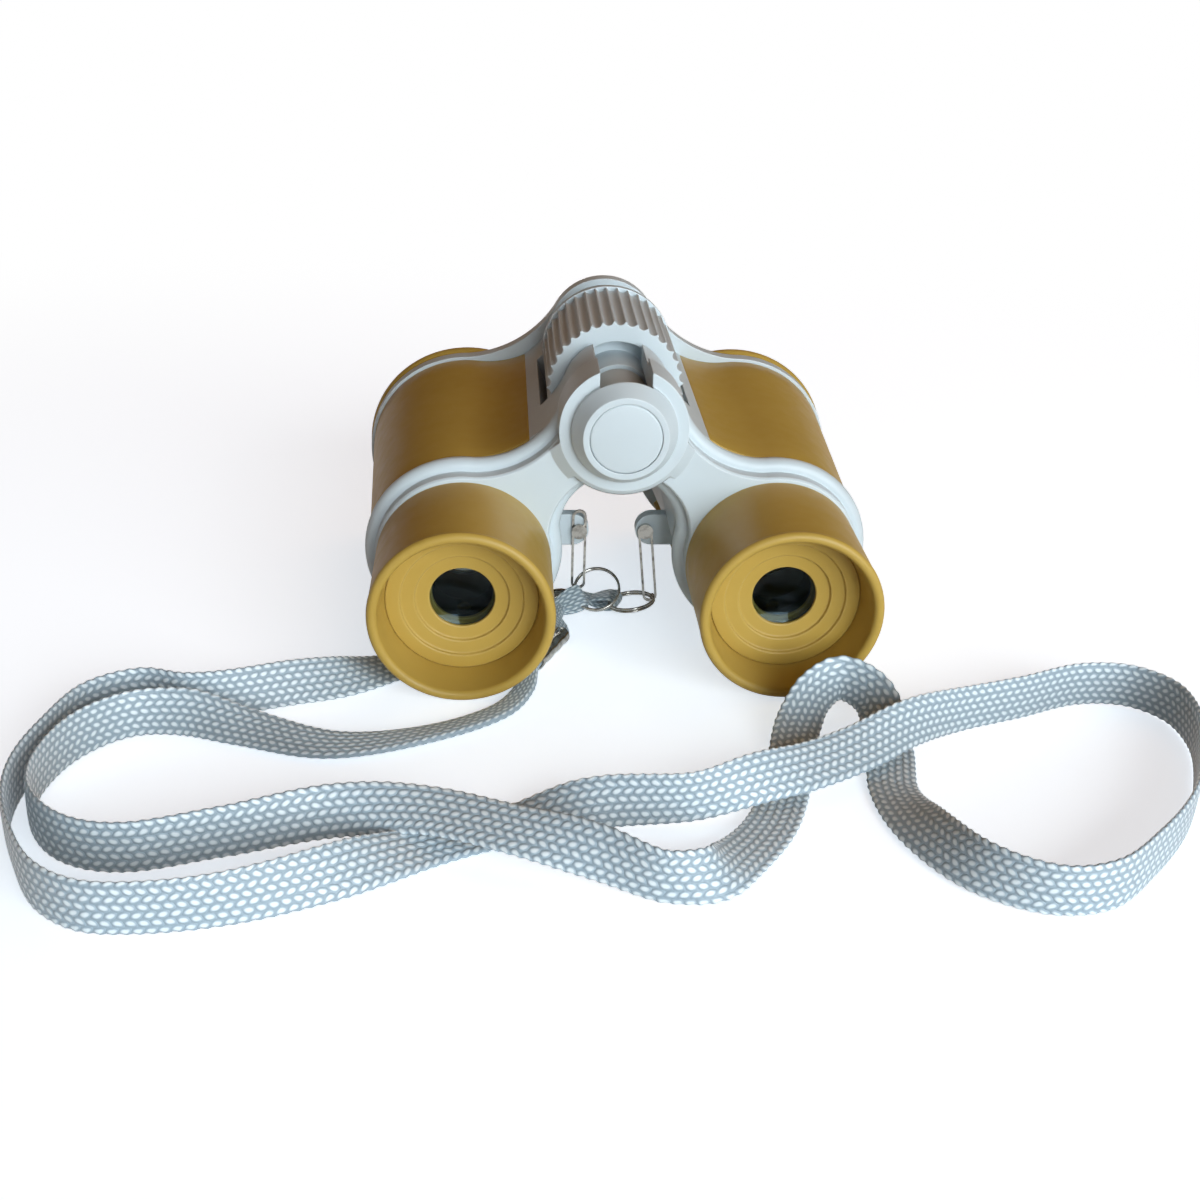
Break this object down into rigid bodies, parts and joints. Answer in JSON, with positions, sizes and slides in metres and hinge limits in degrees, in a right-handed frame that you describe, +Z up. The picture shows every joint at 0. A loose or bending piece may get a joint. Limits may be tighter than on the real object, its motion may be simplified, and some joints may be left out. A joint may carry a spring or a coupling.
{
  "type": "toy binoculars",
  "caption": "Toy binoculars with a ribbed centre focus wheel, stepped eyecups, lapped barrel panels and a white braided neck strap on metal links.",
  "frame": {"origin": "on the table under the middle of the body, strap left out", "axes": "+X to the user's right across the two barrels, +Y away from the eyes, +Z up"},
  "size_m": [0.2005, 0.1579, 0.0631],
  "materials": {
    "grey_plastic": "satin moulded",
    "tan_plastic": "fine matt grain",
    "shaft_plastic": "smooth",
    "clear_glass": "polished",
    "black_rubber": "matt",
    "plated_steel": "nickel plated",
    "white_braid": "flat braid"
  },
  "bodies": {
    "body": {"rear_end_plate": "grey_plastic", "front_end_plate": "grey_plastic", "saddle": "grey_plastic", "left_barrel_tube": "grey_plastic", "right_barrel_tube": "grey_plastic", "left_barrel_cover": "tan_plastic", "right_barrel_cover": "tan_plastic", "left_eyecup": "tan_plastic", "right_eyecup": "tan_plastic", "left_ocular_ring": "tan_plastic", "right_ocular_ring": "tan_plastic", "left_ocular_lens": "clear_glass", "right_ocular_lens": "clear_glass", "left_objective_hood": "tan_plastic", "right_objective_hood": "tan_plastic", "hub_cap": "grey_plastic", "front_hub_cap": "grey_plastic", "assembly_screws": "plated_steel", "strap_rivets": "plated_steel", "left_strap_link": "plated_steel", "right_strap_link": "plated_steel", "left_split_ring": "plated_steel", "right_split_ring": "plated_steel", "left_strap_ferrule": "plated_steel", "right_strap_ferrule": "plated_steel", "neck_strap": "white_braid"},
    "focus_drive": {"focus_wheel": "grey_plastic", "focus_screw": "shaft_plastic", "friction_washer": "black_rubber"},
    "lens_carriage": {"focus_carriage": "grey_plastic", "left_objective_cell": "grey_plastic", "right_objective_cell": "grey_plastic", "left_objective_lens": "clear_glass", "right_objective_lens": "clear_glass", "left_lens_keeper": "grey_plastic", "right_lens_keeper": "grey_plastic"}
  },
  "joints": [
    {"name": "wheel_spin", "type": "hinge", "parent": "body", "child": "focus_drive", "pos_m": [0, 0.01107, 0.04853], "axis": [0, 0.998, 0.0634], "range_deg": [-180, 180]},
    {"name": "carriage_slide", "type": "slide", "parent": "body", "child": "lens_carriage", "axis": [0, 0.998, 0.0634], "range_m": [-0.002, 0.002]}
  ],
  "couplings": [
    {"joint": "carriage_slide", "follows": "wheel_spin", "m_per_rad": 0.00063662}
  ]
}
